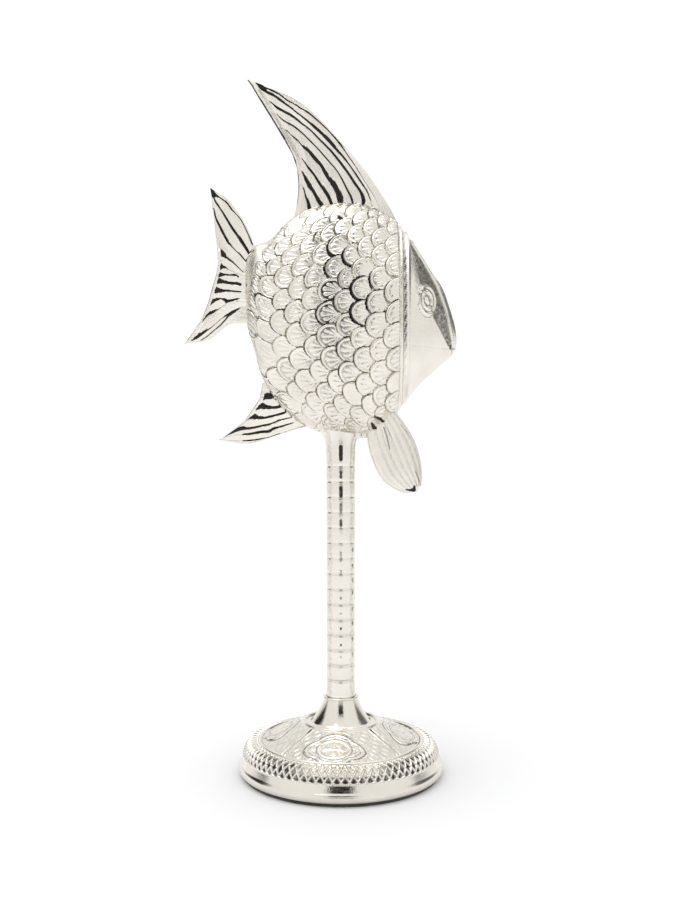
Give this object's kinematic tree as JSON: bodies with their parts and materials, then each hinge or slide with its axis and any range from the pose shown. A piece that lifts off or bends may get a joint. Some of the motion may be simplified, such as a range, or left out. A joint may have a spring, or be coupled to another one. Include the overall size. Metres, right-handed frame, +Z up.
{
  "type": "fish figurine",
  "caption": "Polished cast metal fish on a ringed stem and a round embossed base, a free-standing table ornament.",
  "frame": {"origin": "on the table plane under the axis of the stem, at the middle of the underside of the felt pad", "axes": "+Z up along the stem, +X towards the nose of the fish, -Y is the side of the fish that the picture shows"},
  "size_m": [0.1619, 0.12, 0.4088],
  "materials": {
    "plated_casting": "nickel plated and polished cast aluminium, warm silver, dark in the deepest grooves",
    "steel_fastener": "zinc plated steel",
    "felt": "black pressed felt"
  },
  "bodies": {
    "root": {"felt_pad": "felt", "base": "plated_casting", "stem": "plated_casting", "tie_bolt": "steel_fastener", "spring_washer": "steel_fastener", "plain_washer": "steel_fastener", "right_body_shell": "plated_casting", "left_body_shell": "plated_casting", "dorsal_fin": "plated_casting", "tail_fin": "plated_casting", "anal_fin": "plated_casting", "right_pelvic_fin": "plated_casting", "left_pelvic_fin": "plated_casting"}
  },
  "joints": []
}
